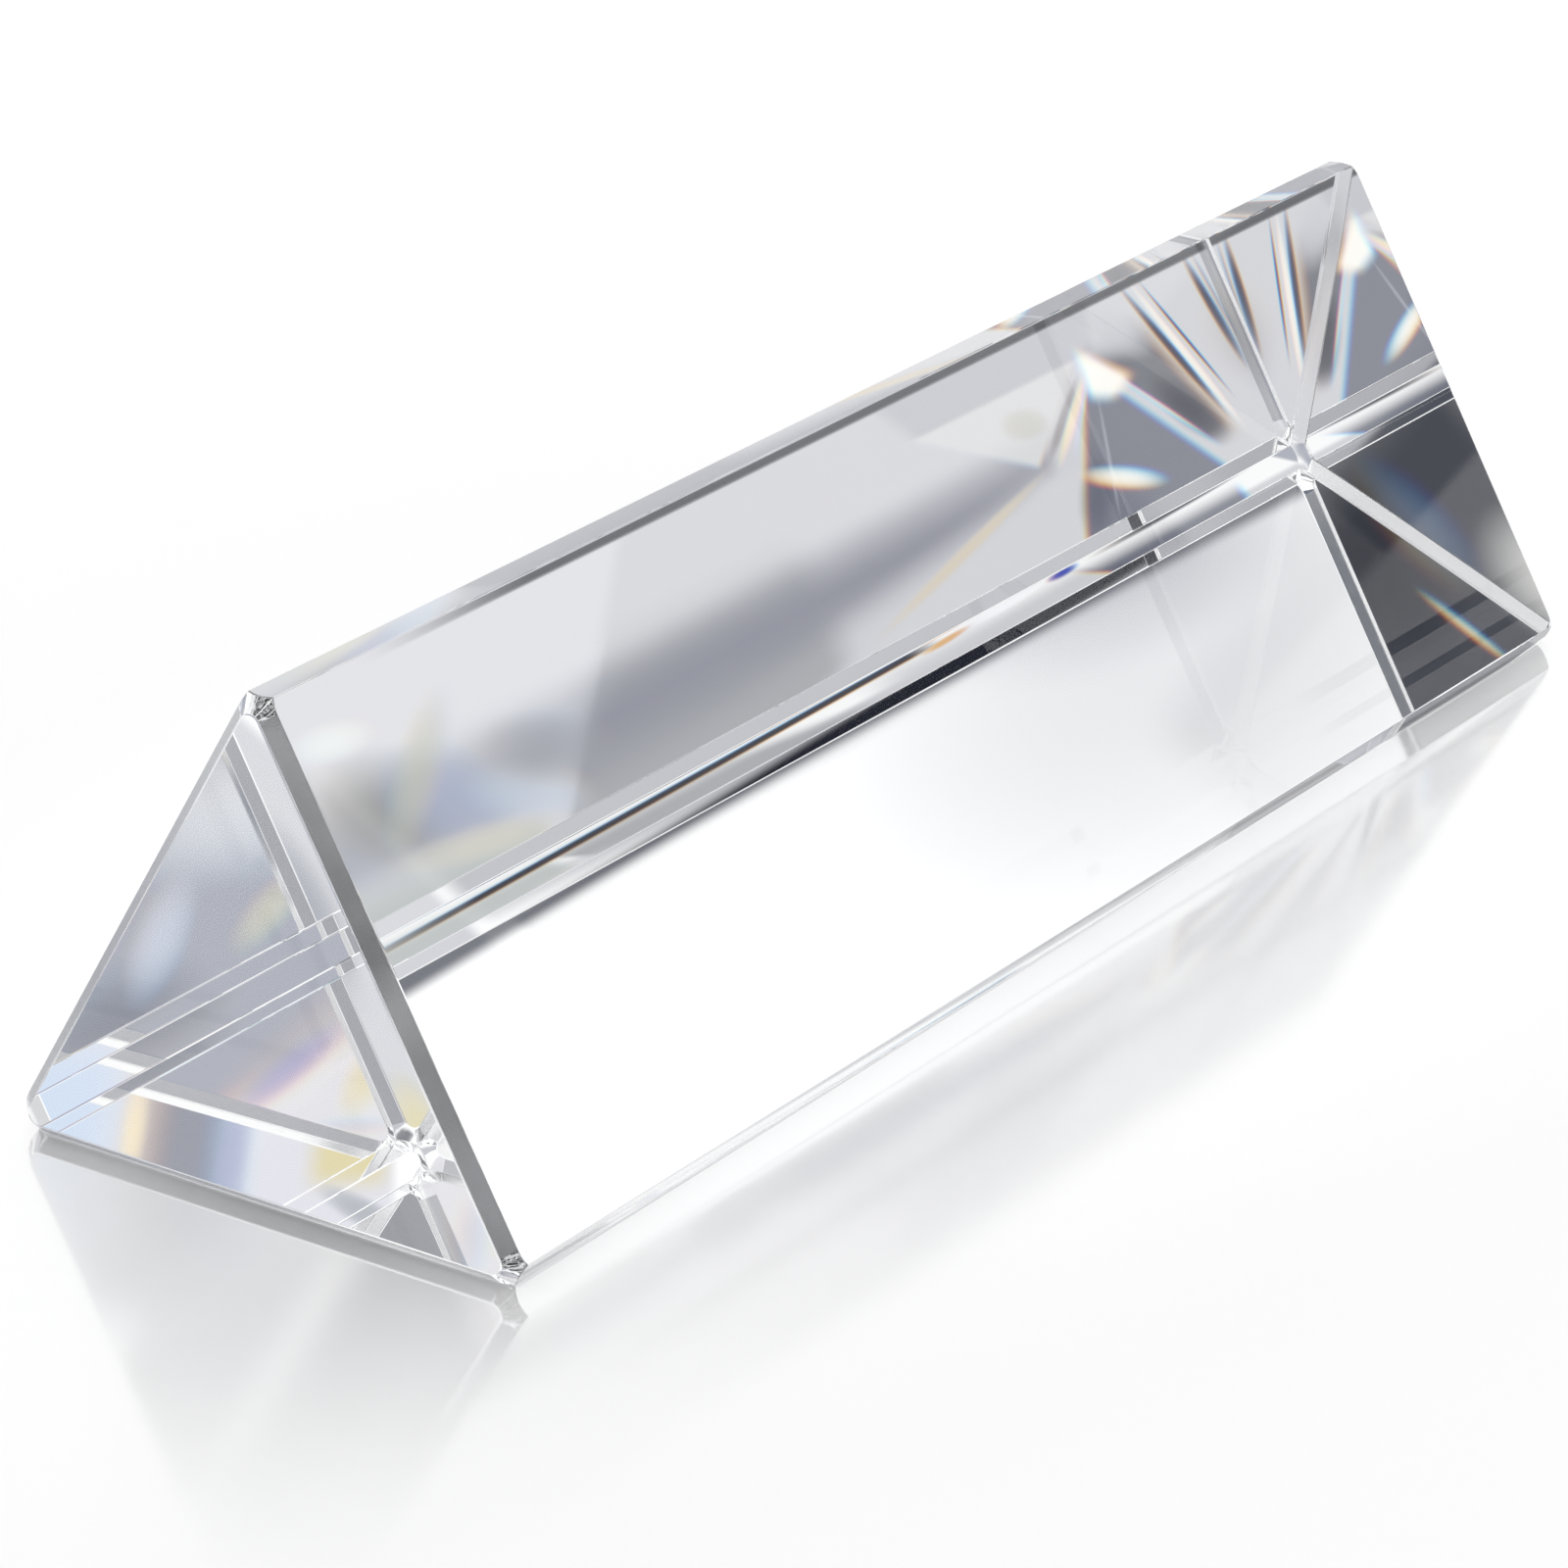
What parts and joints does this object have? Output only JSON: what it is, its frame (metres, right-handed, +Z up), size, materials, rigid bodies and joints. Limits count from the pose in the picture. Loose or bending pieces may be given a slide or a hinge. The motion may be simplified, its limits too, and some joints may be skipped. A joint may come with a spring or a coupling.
{
  "type": "equilateral triangular prism",
  "caption": "Solid bar of polished clear glass with an equilateral section and bevelled edges, which bends and disperses light.",
  "frame": {"origin": "centre of the long face that the bar rests on", "axes": "+X along the bar, +Y across it, +Z up through the top edge"},
  "size_m": [0.1, 0.03, 0.026],
  "materials": {
    "optical_glass": "clear crown optical glass, polished faces and long flats, fine-ground end bevels"
  },
  "bodies": {
    "root": {"glass_prism": "optical_glass"}
  },
  "joints": []
}
